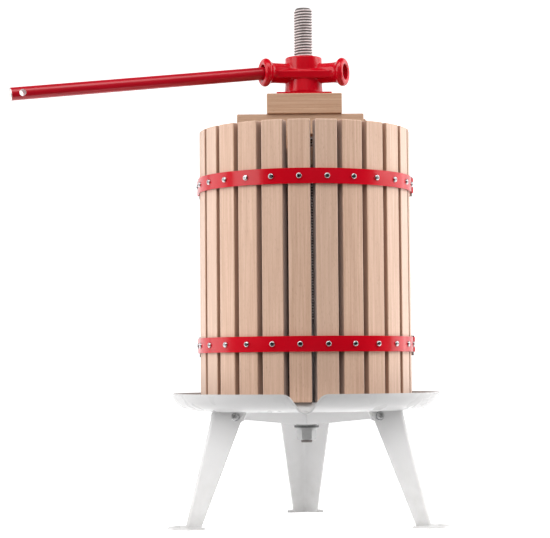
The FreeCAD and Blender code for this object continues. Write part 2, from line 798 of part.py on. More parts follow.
def hub():
    boss = cylinder(hub_r, plate_top, hub_top)
    low = [e for e in boss.Edges if abs(e.BoundBox.ZMax - plate_top) < 0.01]
    boss = boss.makeFillet(hub_bottom_round, low)
    high = [e for e in boss.Edges if abs(e.BoundBox.ZMin - hub_top) < 0.01]
    boss = boss.makeFillet(hub_top_round, high)
    center = Vector(0, 0, socket_axis_z)
    adds = []
    bores = []
    for side in (1, -1):
        out_dir = socket_dir(side)
        adds.append(placed(cylinder(socket_r, 0, socket_mouth_r), center, out_dir))
        bead_axis_r = socket_mouth_r - bead_wire_r
        bead = Part.makeTorus(bead_outer_r - bead_wire_r, bead_wire_r, Vector(0, 0, bead_axis_r), UP)
        inner = cylinder(bead_outer_r - bead_wire_r, bead_axis_r - bead_wire_r, bead_axis_r + bead_wire_r)
        adds.append(placed(bead.fuse(inner), center, out_dir))
        bore = cylinder(socket_bore_r, socket_mouth_r - socket_depth, socket_mouth_r + past)
        bores.append(placed(bore, center, out_dir))
    bend = math.radians(socket_bend_deg)
    beside_r = socket_r - web_inset
    beside = Vector(-math.sin(bend), -math.cos(bend), 0) * beside_r
    tip = socket_dir(1) * web_reach + beside
    front = socket_dir(1) * ((web_depth - beside_r * math.cos(bend)) / math.sin(bend)) + beside
    corners = [Vector(0, 0, 0), tip, front, Vector(-front.x, front.y, 0), Vector(-tip.x, tip.y, 0)]
    web = Part.Face(Part.makePolygon(corners + corners[:1])).extrude(Vector(0, 0, web_below + web_above))
    web.translate(Vector(0, 0, socket_axis_z - web_below))
    out = boss.fuse(adds + [web])
    out = clean(out.cut(bores))
    # The nut thread sits in step with the spindle's, with the same gap on every side.
    turns_down = math.ceil((hub_height + pitch) / pitch)
    first = thread_start_z + pitch * math.floor((plate_top - thread_start_z) / pitch - 1)
    flank = (pitch - root_flat - crest_flat) / 2
    slant = math.hypot(flank, crest_r - root_r)
    shift = thread_gap * (slant - flank) / (crest_r - root_r)
    tap = threaded_rod(root_r + thread_gap, crest_r + thread_gap, root_flat - 2 * shift,
                       crest_flat + 2 * shift, first + shift, turns_down + 3, 3 * pitch, pitch)
    return clean(out.cut(tap))


def bar_axis():
    """Outward direction of the bar and the point of its axis at the left socket's mouth."""
    tilt = math.radians(bar_tilt_deg)
    flat = socket_dir(-1)
    direction = flat * math.cos(tilt) + Vector(0, 0, -math.sin(tilt))
    lip_z = socket_axis_z - socket_bore_r
    mouth = flat * socket_mouth_r + Vector(0, 0, lip_z + slide_gap + bar_r / math.cos(tilt))
    return direction, mouth


def bar():
    direction, mouth = bar_axis()
    rod = cylinder(bar_r, -bar_seat, bar_length - bar_seat)
    ends = [e for e in rod.Edges if e.BoundBox.ZLength < 0.01]
    rod = placed(rod.makeChamfer(bar_edge, ends), mouth, direction)
    across = direction.cross(UP)
    center = mouth + direction * (bar_length - bar_seat - bar_hole_inset)
    return rod.cut(placed(cylinder(bar_hole_r, -2 * bar_r, 2 * bar_r), center, across))


for name, angle in leg_angles.items():
    save("leg_" + name, turned(leg(), angle))
save("underframe", underframe())
save("leg_bolts", on_all_legs(leg_bolt()))
save("leg_bolt_washers", on_all_legs(bolt_washer()))
save("leg_nuts", on_all_legs(bolt_nut()))
save("drip_tray", drip_tray())
save("spindle", spindle())
save("tray_washer", tube(stud_hole_r, tray_washer_r, tray_top, spindle_seat))
save("flat_washer", tube(stud_hole_r, flat_washer_r, boss_bottom - flat_washer_sheet, boss_bottom))
save("spring_washer", spring_washer())
save("spindle_nut", spindle_nut())

for k in range(slat_count):
    save("slat_%02d" % (k + 1), turned(slat(), slat_deg(k)))
front_slats = [(last_front - k) % slat_count for k in range(front_count)]
rear_slats = [k for k in range(slat_count) if k not in front_slats]
for name, z in (("upper", upper_band_z), ("lower", lower_band_z)):
    save(name + "_band_front", half_band(z, junction_left_deg, junction_right_deg, True, front_slats))
    save(name + "_band_rear", half_band(z, junction_right_deg, junction_left_deg + 360, False, rear_slats))
    save(name + "_band_screws", band_screws(z))
    save("pin_" + name + "_left", hinge_pin(z, junction_left_deg))
    save("pin_" + name + "_right", hinge_pin(z, junction_right_deg))

save("press_board_front", board(True))
save("press_board_rear", board(False))
save("lower_block_left", lower_block(-1))
save("lower_block_right", lower_block(1))
save("middle_block_front", middle_block(True))
save("middle_block_rear", middle_block(False))
save("top_block_front", top_block(True))
save("top_block_rear", top_block(False))
save("press_plate", press_plate())
save("hub", hub())
save("bar", bar())
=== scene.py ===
# %% [markdown]
# # A fruit press, dressed for its portrait
# The press stands on three folded legs. A white tray catches the juice, a basket of beech slats holds the
# fruit, and a red hub on a steel screw drives the boards down. The solids come from the construction file,
# so this lesson adds only what a solid can't say: wood, paint, enamel, worn steel and the soft shape of a
# casting. Units are metres, +Z is up and the spout points to -Y.

import math

import bmesh
import bpy
from mathutils import Matrix, Vector


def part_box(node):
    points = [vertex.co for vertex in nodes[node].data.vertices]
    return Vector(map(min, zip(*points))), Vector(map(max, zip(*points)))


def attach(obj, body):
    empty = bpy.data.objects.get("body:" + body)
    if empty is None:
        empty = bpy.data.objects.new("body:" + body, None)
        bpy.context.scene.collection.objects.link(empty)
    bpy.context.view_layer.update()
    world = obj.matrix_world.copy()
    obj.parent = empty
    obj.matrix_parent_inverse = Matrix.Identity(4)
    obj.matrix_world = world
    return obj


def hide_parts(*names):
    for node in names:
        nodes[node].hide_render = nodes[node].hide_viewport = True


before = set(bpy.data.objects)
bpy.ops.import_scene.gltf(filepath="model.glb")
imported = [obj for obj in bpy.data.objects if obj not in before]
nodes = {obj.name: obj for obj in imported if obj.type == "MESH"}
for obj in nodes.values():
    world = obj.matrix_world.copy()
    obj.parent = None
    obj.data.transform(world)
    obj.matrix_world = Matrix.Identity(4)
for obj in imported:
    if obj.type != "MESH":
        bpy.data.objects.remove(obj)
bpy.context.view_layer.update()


# %% [markdown]
# ## Shader maths that reads like maths
# A material is a graph of nodes. Wiring a sum by hand takes three lines, so a small class wraps a socket
# and overloads the operators that are used here. `1 - mask` then adds its own Math node. Every other kind
# of node comes from one method, which sets the node's settings first and then fills or links its sockets.

# %% The socket class and the surface class
class Signal:
    """A number that varies over a surface. Arithmetic on it adds Math nodes."""

    def __init__(self, surface, socket):
        self.surface = surface
        self.socket = socket

    def _math(self, operation, a, b):
        return self.surface.add("ShaderNodeMath", {"operation": operation}, {0: a, 1: b})[0]

    def __add__(self, other):
        return self._math("ADD", self, other)

    def __radd__(self, other):
        return self._math("ADD", other, self)

    def __sub__(self, other):
        return self._math("SUBTRACT", self, other)

    def __rsub__(self, other):
        return self._math("SUBTRACT", other, self)

    def __mul__(self, other):
        return self._math("MULTIPLY", self, other)

    def __rmul__(self, other):
        return self._math("MULTIPLY", other, self)

    def __pow__(self, other):
        return self._math("POWER", self, other)


class Outputs:
    """A node's outputs, each one ready for sums."""

    def __init__(self, surface, node):
        self.surface = surface
        self.node = node

    def __getitem__(self, key):
        return Signal(self.surface, self.node.outputs[key])


class Surface:
    """A material that is being mixed."""

    def __init__(self, name):
        self.material = bpy.data.materials.new(name)
        self.material.use_nodes = True
        self.tree = self.material.node_tree
        self.tree.nodes.clear()

    def add(self, kind, settings=None, sockets=None):
        node = self.tree.nodes.new(kind)
        for key, value in (settings or {}).items():
            setattr(node, key, value)
        for key, value in (sockets or {}).items():
            if isinstance(value, Signal):
                self.tree.links.new(value.socket, node.inputs[key])
            else:
                node.inputs[key].default_value = value
        return Outputs(self, node)


operators = ("add", "radd", "sub", "rsub", "mul", "rmul", "pow")
print("operators:", [name for name in operators if hasattr(Signal, f"__{name}__")])

# %% [markdown]
# ## Words for the finishes
# Each finish needs the same few ideas: where am I on the piece, which way does it face, how rough is it
# here, a soft step between two values, and a colour that lies between two others. They are written once, as
# short functions. Scales count noise cells in a metre, so 1000 gives cells of a millimetre.

# %% Helpers that every finish uses
def place(surface):
    """Position on the piece in metres."""
    return surface.add("ShaderNodeTexCoord")["Object"]


def facing(surface):
    """Direction that the surface faces."""
    return surface.add("ShaderNodeTexCoord")["Normal"]


def xyz(surface, vector):
    parts = surface.add("ShaderNodeSeparateXYZ", None, {0: vector})
    return parts["X"], parts["Y"], parts["Z"]


def stretched(surface, vector, scale):
    return surface.add("ShaderNodeMapping", None, {"Vector": vector, "Scale": scale})[0]


def vector_math(surface, operation, first, second=None, output="Vector"):
    sockets = {0: first} if second is None else {0: first, 1: second}
    return surface.add("ShaderNodeVectorMath", {"operation": operation}, sockets)[output]


def unsigned(surface, value):
    return surface.add("ShaderNodeMath", {"operation": "ABSOLUTE"}, {0: value})[0]


def noise(surface, vector, scale, detail=3.0, distortion=0.0):
    sockets = {"Vector": vector, "Scale": scale, "Detail": detail, "Distortion": distortion}
    return surface.add("ShaderNodeTexNoise", None, sockets)["Fac"]


def soft_step(surface, value, low, high, to_low=0.0, to_high=1.0):
    sockets = {"Value": value, 1: low, 2: high, 3: to_low, 4: to_high}
    return surface.add("ShaderNodeMapRange", {"interpolation_type": "SMOOTHSTEP"}, sockets)[0]


def colour_between(surface, mask, first, second):
    sockets = {0: mask, 6: first, 7: second}
    return surface.add("ShaderNodeMix", {"data_type": "RGBA"}, sockets)[2]


def rgb(red, green, blue):
    return (red, green, blue, 1.0)


def bumped(surface, height, strength, distance):
    sockets = {"Height": height, "Strength": strength, "Distance": distance}
    return surface.add("ShaderNodeBump", None, sockets)["Normal"]


def finished(surface, sockets):
    """Puts one Principled shader on the surface and returns the material."""
    shader = surface.add("ShaderNodeBsdfPrincipled", None, sockets)
    surface.add("ShaderNodeOutputMaterial", None, {"Surface": shader["BSDF"]})
    return surface.material


print("helpers ready")

# %% [markdown]
# ## Beech
# Planed beech is a pale, slightly pink brown with fine straight lines along the grain and tiny dark dashes.
# A photograph of wood would repeat, so the grain is grown from noise that is squeezed across the grain and
# long along it. Neighbouring slats come from different boards. Every piece carries a number, and the number
# picks a tone and a stretch of grain, so one material serves all of them. End grain drinks light, so faces
# across the grain are darker. The thin sides of the slats are darkened as painted shade of the gaps. A side
# face looks along the ring and not away from its centre, so the angle between the face and the ring's radius
# finds it. A little sheen stands for the fuzz of fine fibres, which pales the wood where it is seen at a
# slant.

# %% The wood, for any grain direction
ALONG_RING = 0.25
OUT_OF_RING = 0.60


def off_the_ring(surface, vector):
    """1 where a face looks along the basket's ring, 0 where it looks out of it or into it."""
    level = vector_math(surface, "MULTIPLY", vector, (1.0, 1.0, 0.0))
    radial = vector_math(surface, "NORMALIZE", level)
    outward = vector_math(surface, "DOT_PRODUCT", radial, facing(surface), "Value")
    return soft_step(surface, unsigned(surface, outward), ALONG_RING, OUT_OF_RING, 1.0, 0.0)


def beech(name, along, shade=(1.0, 1.0, 1.0), side_painted_shade=0.0, shine=0.35, fuzz=0.0):
    """Beech with its grain along axis 0, 1 or 2. The shade multiplies its red, green and blue."""
    wood = Surface(name)

    def shaded(red, green, blue):
        return rgb(red * shade[0], green * shade[1], blue * shade[2])

    vector = place(wood)
    number = wood.add("ShaderNodeObjectInfo")["Object Index"]
    board = wood.add("ShaderNodeTexWhiteNoise", {"noise_dimensions": "1D"}, {"W": number})["Value"]
    shifts = {0: board * 3.0, 1: board * 7.0, 2: board * 5.0}
    grown = vector_math(wood, "ADD", vector, wood.add("ShaderNodeCombineXYZ", None, shifts)[0])

    def grain(across, lengthwise, detail, distortion=0.0):
        scale = [across, across, across]
        scale[along] = lengthwise
        return noise(wood, stretched(wood, grown, tuple(scale)), 1.0, detail, distortion)

    rings = grain(70.0, 2.2, 2.0, 0.7)
    ripples = wood.add("ShaderNodeMath", {"operation": "PINGPONG"}, {0: rings * 9.0, 1: 1.0})[0]
    lines = grain(520.0, 9.0, 4.0)
    flecks = soft_step(wood, grain(1500.0, 170.0, 1.0), 0.60, 0.74)
    rays = soft_step(wood, grain(900.0, 60.0, 2.0), 0.55, 0.8)
    pale_board = soft_step(wood, board, 0.0, 1.0, 0.0, 0.42)

    dark_line, light_line = shaded(0.53, 0.322, 0.215), shaded(0.68, 0.452, 0.33)
    tone = colour_between(wood, soft_step(wood, lines, 0.3, 0.72), dark_line, light_line)
    tone = colour_between(wood, ripples * 0.34, tone, shaded(0.50, 0.298, 0.196))
    tone = colour_between(wood, pale_board, tone, shaded(0.645, 0.458, 0.356))
    tone = colour_between(wood, rays * 0.25, tone, shaded(0.74, 0.55, 0.43))
    tone = colour_between(wood, flecks * 0.34, tone, shaded(0.30, 0.165, 0.10))

    lengthwise_part = xyz(wood, facing(wood))[along]
    end = soft_step(wood, unsigned(wood, lengthwise_part), 0.75, 0.95)
    pores = noise(wood, stretched(wood, vector, (1600.0, 1600.0, 1600.0)), 1.0, 2.0)
    open_pores = soft_step(wood, pores, 0.5, 0.7) * 0.6
    end_tone = colour_between(wood, open_pores, rgb(0.50, 0.315, 0.20), rgb(0.33, 0.19, 0.115))
    tone = colour_between(wood, end * 0.85, tone, end_tone)
    # The side faces of the slats are darkened here: painted shade for the gaps between the slats.
    if side_painted_shade:
        sides = off_the_ring(wood, vector) * (1 - end)
        tone = colour_between(wood, sides * side_painted_shade, tone, rgb(0.22, 0.085, 0.035))

    return finished(wood, {
        "Base Color": tone,
        "Roughness": soft_step(wood, lines, 0.2, 0.8, 0.62, 0.48),
        "Specular IOR Level": shine,
        "Sheen Weight": fuzz,
        "Sheen Roughness": 0.6,
        "Normal": bumped(wood, lines * 0.6 + (1 - flecks) * 0.4, 0.35, 0.0004),
    })


SLAT_SHADE = (0.95, 0.94, 0.93)
# The blocks wear a darker copy of the same beech, as painted shade.
BLOCK_PAINTED_SHADE = (0.80, 0.79, 0.74)
beech_upright = beech("beech_upright", 2, SLAT_SHADE, side_painted_shade=0.62, shine=0.5, fuzz=0.35)
beech_across = beech("beech_across", 0, BLOCK_PAINTED_SHADE)
beech_deep = beech("beech_deep", 1, BLOCK_PAINTED_SHADE)
print("beech:", len(beech_upright.node_tree.nodes), "nodes")

# %% [markdown]
# ## Red paint, thick and thin
# The bands, the plate and the bar are powder coated: an even red skin with a fine orange peel. The hub is a
# sand casting under the same red, so its lumps are deeper and its coat is wetter. One recipe takes the size
# of the bumps and the gloss.

# %% The red finishes
POWDER_BUMPS = (0.0011, 0.000012, 0.012, 0.00004)
CASTING_BUMPS = (0.0016, 0.00001, 0.011, 0.0001)


def red_skin(surface, bumps, depth=1.0):
    """Colour, clouds and normal of painted metal.

    The bumps are peel size and depth, then lump size and depth. The last number multiplies the red.
    """
    peel_size, peel_depth, lump_size, lump_depth = bumps
    vector = place(surface)
    peel = noise(surface, vector, 1.0 / peel_size, 2.0)
    lumps = noise(surface, vector, 1.0 / lump_size, 2.0)
    clouds = noise(surface, vector, 14.0, 3.0)
    deep_red, light_red = rgb(0.47 * depth, 0.0006, 0.008), rgb(0.51 * depth, 0.0009, 0.011)
    tone = colour_between(surface, soft_step(surface, clouds, 0.3, 0.7), deep_red, light_red)
    height = peel * (peel_depth / lump_depth) + lumps
    return tone, clouds, bumped(surface, height, 1.0, lump_depth)


def red_paint(name, roughness, shine, coat, bumps):
    paint = Surface(name)
    tone, clouds, normal = red_skin(paint, bumps)
    return finished(paint, {
        "Base Color": tone,
        "Roughness": soft_step(paint, clouds, 0.2, 0.8, roughness * 0.85, roughness * 1.2),
        "Specular IOR Level": shine,
        "Coat Weight": coat,
        "Coat Roughness": 0.07,
        "Normal": normal,
    })


powder_red = red_paint("powder_red", 0.20, 0.38, 0.12, POWDER_BUMPS)
casting_red = red_paint("casting_red", 0.24, 0.3, 0.22, CASTING_BUMPS)
print("red finishes:", powder_red.name, casting_red.name)

# %% [markdown]
# ## White enamel and white paint
# The tray is enamelled: smooth, a little wavy and white. The legs and the frame under it are powder coated
# sheet, so they are softer in gloss. Low on the legs the paint turns darker and a little warm, in patches,
# most at the floor. Paint is given a tone well below pure white, or the lamps would flatten it.

# %% The white finishes
DARKER_BELOW = 0.14


def white_paint(name, tone, roughness, wave, peel, shine=0.3):
    paint = Surface(name)
    vector = place(paint)
    z = xyz(paint, vector)[2]
    waves = noise(paint, vector, 26.0, 2.0)
    grit = noise(paint, vector, 850.0, 2.0)
    patches = soft_step(paint, noise(paint, vector, 60.0, 4.0), 0.2, 0.75, 0.35, 1.0)
    # Darker and warmer towards the floor, in patches.
    low_darkening = soft_step(paint, z, 0.0, DARKER_BELOW, 0.55, 0.0) * patches
    colour = colour_between(paint, low_darkening, rgb(*tone), rgb(0.42, 0.41, 0.395))
    height = waves + grit * (peel / wave)
    return finished(paint, {
        "Base Color": colour,
        "Roughness": soft_step(paint, waves, 0.3, 0.7, roughness * 0.85, roughness * 1.15),
        "Specular IOR Level": shine,
        "Normal": bumped(paint, height, 1.0, wave),
    })


tray_enamel = white_paint("tray_enamel", (0.49, 0.487, 0.487), 0.30, 0.00025, 0.000004, 0.16)
leg_paint = white_paint("leg_paint", (0.605, 0.60, 0.60), 0.42, 0.00018, 0.000012)
frame_paint = white_paint("frame_paint", (0.72, 0.715, 0.715), 0.42, 0.00018, 0.000012)
print("white finishes:", tray_enamel.name, leg_paint.name, frame_paint.name)

# %% [markdown]
# ## Steel
# Screws, pins and nuts are zinc plated, with a faint cloudiness. The leg bolts, the nut and the spring
# washer under the tray are duller. The flat washer under the tray is painted almost black, as painted shade.
# The spindle is turned steel with a rolled thread: bright on the crests and dark in the grooves, with
# patches of grease. How far a point is from the spindle's axis tells crest from groove.

# %% The steel finishes
def plated(name, dark, light, roughness, metallic=1.0):
    steel = Surface(name)
    vector = place(steel)
    clouds = noise(steel, vector, 320.0, 3.0)
    scratches = noise(steel, stretched(steel, vector, (900.0, 900.0, 4000.0)), 1.0, 2.0)
    return finished(steel, {
        "Base Color": colour_between(steel, clouds, rgb(*dark), rgb(*light)),
        "Metallic": metallic,
        "Roughness": soft_step(steel, clouds, 0.25, 0.75, roughness * 0.7, roughness * 1.3),
        "Normal": bumped(steel, scratches, 0.4, 0.00003),
    })


GROOVE_R = 0.0119
CREST_R = 0.0134


def rolled_thread():
    steel = Surface("thread_steel")
    vector = place(steel)
    x, y = xyz(steel, vector)[:2]
    crest = soft_step(steel, (x * x + y * y) ** 0.5, GROOVE_R, CREST_R)
    grease = noise(steel, stretched(steel, vector, (120.0, 120.0, 60.0)), 1.0, 4.0)
    rolled = noise(steel, stretched(steel, vector, (260.0, 260.0, 2600.0)), 1.0, 2.0)
    # Dark in the grooves, bright on the crests.
    tone = colour_between(steel, crest, rgb(0.15, 0.13, 0.125), rgb(0.70, 0.62, 0.61))
    tone = colour_between(steel, soft_step(steel, grease, 0.45, 0.75) * 0.4, tone, rgb(0.20, 0.18, 0.17))
    return finished(steel, {
        "Base Color": tone,
        "Metallic": 0.1,
        "Specular IOR Level": 0.3,
        "Roughness": soft_step(steel, crest, 0.0, 1.0, 0.65, 0.5),
        "Normal": bumped(steel, rolled, 0.5, 0.00004),
    })


zinc = plated("zinc", (0.52, 0.53, 0.54), (0.74, 0.75, 0.76), 0.26)
# The flat washer's zinc is almost black: painted shade.
zinc_painted_shade = plated("zinc_painted_shade", (0.07, 0.07, 0.07), (0.14, 0.14, 0.14), 0.50, 0.3)
nut_zinc = plated("nut_zinc", (0.34, 0.34, 0.34), (0.46, 0.46, 0.46), 0.42, 0.45)
thread_steel = rolled_thread()
print("steel finishes:", zinc.name, zinc_painted_shade.name, nut_zinc.name, thread_steel.name)

# %% [markdown]
# ## The bar
# The bar was painted as a long rod and cut afterwards, so its outer end shows bare steel. The distance along
# the bar is a dot product: position times direction, added up. A little noise makes the paint's edge ragged.
# Where the paint ends, the surface turns from paint to metal: colour, gloss and coat all follow one mask.

# %% Red along the bar, bare steel where it was cut
BAR_OUT = Vector((-0.926013237, -0.355463178, -0.127064609))
BAR_MOUTH = Vector((-0.059749147, -0.022935549, 0.634173546))
BAR_FREE = 0.365
BAR_RED_DEPTH = 0.78


def bar_finish():
    paint = Surface("bar_finish")
    vector = place(paint)
    tone, clouds, normal = red_skin(paint, POWDER_BUMPS, BAR_RED_DEPTH)
    x, y, z = xyz(paint, vector)
    reach = x * BAR_OUT.x + y * BAR_OUT.y + z * BAR_OUT.z - BAR_MOUTH.dot(BAR_OUT)
    ragged = noise(paint, vector, 900.0, 2.0) * 0.0009
    cut = soft_step(paint, reach + ragged, BAR_FREE - 0.0006, BAR_FREE - 0.0001)
    sawn = noise(paint, stretched(paint, vector, (300.0, 300.0, 3200.0)), 1.0, 2.0)
    bare = colour_between(paint, sawn, rgb(0.60, 0.58, 0.57), rgb(0.80, 0.78, 0.77))
    return finished(paint, {
        "Base Color": colour_between(paint, cut, tone, bare),
        "Metallic": cut,
        "Roughness": soft_step(paint, cut, 0.0, 1.0, 0.30, 0.42),
        "Specular IOR Level": 0.35,
        "Coat Weight": soft_step(paint, cut, 0.0, 1.0, 0.25, 0.0),
        "Coat Roughness": 0.09,
        "Normal": normal,
    })


bar_red = bar_finish()
print("bar finish:", bar_red.name)

# %% [markdown]
# ## Which piece wears what
# The solids keep their shape and their shading, flat faces flat and round faces round. Only their material
# slots change, so a short table from name to finish and a few rules for the many alike pieces are enough.
# Each piece also gets its number here, which the wood asks for.

# %% Hand out the finishes
FINISH = {
    "drip_tray": tray_enamel,
    "underframe": frame_paint,
    "leg_bolts": nut_zinc,
    "spindle": thread_steel,
    "press_plate": powder_red,
    "bar": bar_red,
    "flat_washer": zinc_painted_shade,
    "spring_washer": nut_zinc,
    "spindle_nut": nut_zinc,
}
ALIKE = (
    (("slat_",), beech_upright),
    (("press_board_", "top_block_", "middle_block_"), beech_across),
    (("lower_block_",), beech_deep),
    (("leg_front_", "leg_rear"), leg_paint),
    (("upper_band_front", "upper_band_rear", "lower_band_front", "lower_band_rear"), powder_red),
)


def finish_for(name):
    if name in FINISH:
        return FINISH[name]
    for starts, finish in ALIKE:
        if name.startswith(starts):
            return finish
    return zinc


def dress(piece, material):
    piece.data.materials.clear()
    piece.data.materials.append(material)


for number, (name, piece) in enumerate(sorted(nodes.items())):
    piece.pass_index = number
    dress(piece, finish_for(name))
print("dressed", len(nodes), "solids")

# %% [markdown]
# ## The hub, as the foundry made it
# The solid hub is a boss, two sockets with a bead at each mouth and a web across the front. A casting has no
# sharp inside corners, because sand can't hold them. Filleting every crossing by hand is slow. The parts are
# made as closed meshes that overlap, and one skin is drawn over all of them later. First come the tools: a
# lathe that spins a profile, an arc for the profiles, and a way to aim the result.

# %% Mesh helpers: a lathe, and a way to aim a shape
SOCKET_Z = 0.636
BEND = math.radians(21.0)


def made(name, bm):
    """Turns a bmesh into an object in the scene."""
    mesh = bpy.data.meshes.new(name)
    bm.to_mesh(mesh)
    bm.free()
    piece = bpy.data.objects.new(name, mesh)
    bpy.context.scene.collection.objects.link(piece)
    return piece


def turned_mesh(name, profile, sides=96):
    """A closed solid of revolution about Z from (radius, height) points, both ends on the axis."""
    bm = bmesh.new()
    spokes = [(math.cos(2 * math.pi * k / sides), math.sin(2 * math.pi * k / sides)) for k in range(sides)]
    rings = []
    for radius, height in profile:
        if radius == 0:
            rings.append([bm.verts.new((0.0, 0.0, height))])
        else:
            rings.append([bm.verts.new((radius * x, radius * y, height)) for x, y in spokes])
    for low, high in zip(rings, rings[1:]):
        for k in range(sides):
            n = (k + 1) % sides
            if len(low) == 1:
                bm.faces.new((low[0], high[n], high[k]))
            elif len(high) == 1:
                bm.faces.new((low[k], low[n], high[0]))
            else:
                bm.faces.new((low[k], low[n], high[n], high[k]))
    bmesh.ops.recalc_face_normals(bm, faces=bm.faces)
    return made(name, bm)


def aimed(piece, origin, direction):
    turn = Vector((0, 0, 1)).rotation_difference(Vector(direction)).to_matrix().to_4x4()
    piece.data.transform(Matrix.Translation(origin) @ turn)
    return piece


def arc(centre, radius, start, end, steps):
    """Points of an arc in the profile plane, angles in degrees."""
    angles = [math.radians(start + (end - start) * k / steps) for k in range(steps + 1)]
    return [(centre[0] + radius * math.cos(a), centre[1] + radius * math.sin(a)) for a in angles]


def out_of(side):
    return Vector((side * math.cos(BEND), -math.sin(BEND), 0.0))


print("socket directions", [tuple(round(c, 3) for c in out_of(s)) for s in (-1, 1)])

# %% [markdown]
# ## The lumps of the casting
# The boss is wider at its foot, as castings are, so that it leaves the sand. It and the sockets are round,
# so each is a profile on the lathe. A socket's profile is a straight arm, a short neck and an arc for the
# bead at its mouth.

# %% The boss and the two sockets
BOSS_R = 0.0262
BOSS_FOOT_R = 0.0266
FOOT_ROUND = 0.0045
RIM_ROUND = 0.0013
ARM_R = 0.0143
NECK_R = 0.0148
BEAD_R = 0.0055
BEAD_AT = 0.0585
MOUTH_AT = 0.0626


def hub_boss():
    low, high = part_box("hub")
    bottom, top = low.z, high.z
    foot = (0.0227, bottom + FOOT_ROUND)
    rim = (0.0248, top - RIM_ROUND)
    profile = [(0.0, bottom), (foot[0], bottom)] + arc(foot, FOOT_ROUND, -90, 0, 8)
    profile += [(BOSS_FOOT_R, bottom + 0.012), (BOSS_R, bottom + 0.020), (BOSS_R, rim[1])]
    profile += arc(rim, RIM_ROUND, 0, 90, 6) + [(0.0, top)]
    return turned_mesh("hub_boss", profile)


def hub_socket(side):
    profile = [(0.0, 0.0), (ARM_R, 0.0), (ARM_R, 0.0440), (NECK_R, 0.0485), (0.0160, 0.0520)]
    profile += arc((NECK_R, BEAD_AT), BEAD_R, -62, 131, 22) + [(0.0, MOUTH_AT)]
    return aimed(turned_mesh("hub_socket", profile), Vector((0, 0, SOCKET_Z)), out_of(side))


lumps = [hub_boss(), hub_socket(-1), hub_socket(1)]
print("lumps:", [lump.name for lump in lumps])

# %% [markdown]
# ## The web between the sockets
# The web fills the corner between the arms. It is a stack of flat outlines with faces between neighbours,
# which is called a loft. Its outline is worked out from the same angle as the sockets, so it always meets
# them. Its sharp ridge is the seam where the two halves of the mould met.

# %% The web
def lofted(name, outlines):
    """A closed mesh through flat outlines that lie one above the other. Each is (height, points)."""
    bm = bmesh.new()
    rings = [[bm.verts.new((x, y, z)) for x, y in points] for z, points in outlines]
    bm.faces.new(rings[0][::-1])
    bm.faces.new(rings[-1])
    for low, high in zip(rings, rings[1:]):
        for k in range(len(low)):
            n = (k + 1) % len(low)
            bm.faces.new((low[k], low[n], high[n], high[k]))
    bmesh.ops.recalc_face_normals(bm, faces=bm.faces)
    return made(name, bm)


WEB_REACH = 0.0525


def web_outline(beside_arm, front):
    """Plan of the web: straight across the front, then along both arms towards the beads."""
    right = out_of(1).xy
    normal = Vector((right.y, -right.x))
    bend_at = (front + beside_arm * normal.y) / -right.y
    beside = normal * beside_arm
    half = [right * WEB_REACH + beside, right * bend_at + beside, Vector((0.004, -front))]
    return [(-p.x, p.y) for p in half] + [(p.x, p.y) for p in half[::-1]] + [(0.0, 0.0)]


WEB_LEVELS = (
    (-0.0090, 0.0095, 0.0262),
    (-0.0080, 0.0115, 0.0274),
    (+0.0004, 0.0150, 0.0291),
    (+0.0012, 0.0150, 0.0290),
    (+0.0026, 0.0139, 0.0262),
    (+0.0050, 0.0110, 0.0220),
)


def hub_web():
    """A level is a height above the sockets' axis, a width beside the arm and a reach to the front."""
    outlines = [(SOCKET_Z + up, web_outline(beside, front)) for up, beside, front in WEB_LEVELS]
    return lofted("hub_web", outlines)


lumps.append(hub_web())
print("web levels:", len(WEB_LEVELS))

# %% [markdown]
# ## One skin over the lumps
# A voxel remesh fills the joined lumps with tiny cubes and wraps them in one surface. A few rounds of
# smoothing then round every crossing by about a millimetre, as sand does.

# %% Melt and smooth the lumps
def joined(name, pieces):
    bm = bmesh.new()
    for piece in pieces:
        bm.from_mesh(piece.data)
        bpy.data.objects.remove(piece)
    return made(name, bm)


def applied(piece, kind, **settings):
    """Adds a modifier and applies it at once."""
    modifier = piece.modifiers.new(kind.lower(), kind)
    for key, value in settings.items():
        setattr(modifier, key, value)
    graph = bpy.context.evaluated_depsgraph_get()
    mesh = bpy.data.meshes.new_from_object(piece.evaluated_get(graph))
    piece.modifiers.clear()
    piece.data = mesh
    return piece


hub_cast = joined("hub_cast", lumps)
applied(hub_cast, "REMESH", mode="VOXEL", voxel_size=0.0006)
applied(hub_cast, "SMOOTH", factor=0.5, iterations=8)
print("melted skin:", len(hub_cast.data.polygons), "faces")

# %% [markdown]
# ## Bores and hand-over
# The thread's hole and the two socket bores are cut last, so that they stay crisp. The cast hub rides on the
# solid hub's body and takes its place in the picture.

# %% Cut the bores and hand the casting over
THREAD_HOLE_R = 0.0140
SOCKET_BORE_R = 0.0112
BORE_FLOOR = 0.029


def bore_cutter(radius, start, end):
    return turned_mesh("hub_bore", [(0, start), (radius, start), (radius, end), (0, end)], 64)


cutters = [bore_cutter(THREAD_HOLE_R, 0.58, 0.70)]
for side in (-1, 1):
    cutter = bore_cutter(SOCKET_BORE_R, BORE_FLOOR, 0.08)
    cutters.append(aimed(cutter, Vector((0, 0, SOCKET_Z)), out_of(side)))
for cutter in cutters:
    applied(hub_cast, "BOOLEAN", operation="DIFFERENCE", object=cutter, solver="EXACT")
    bpy.data.objects.remove(cutter)
for polygon in hub_cast.data.polygons:
    polygon.use_smooth = True
hub_cast.data.set_sharp_from_angle(angle=math.radians(40))
dress(hub_cast, casting_red)
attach(hub_cast, "hub")
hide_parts("hub")
print("casting:", len(hub_cast.data.polygons), "faces")

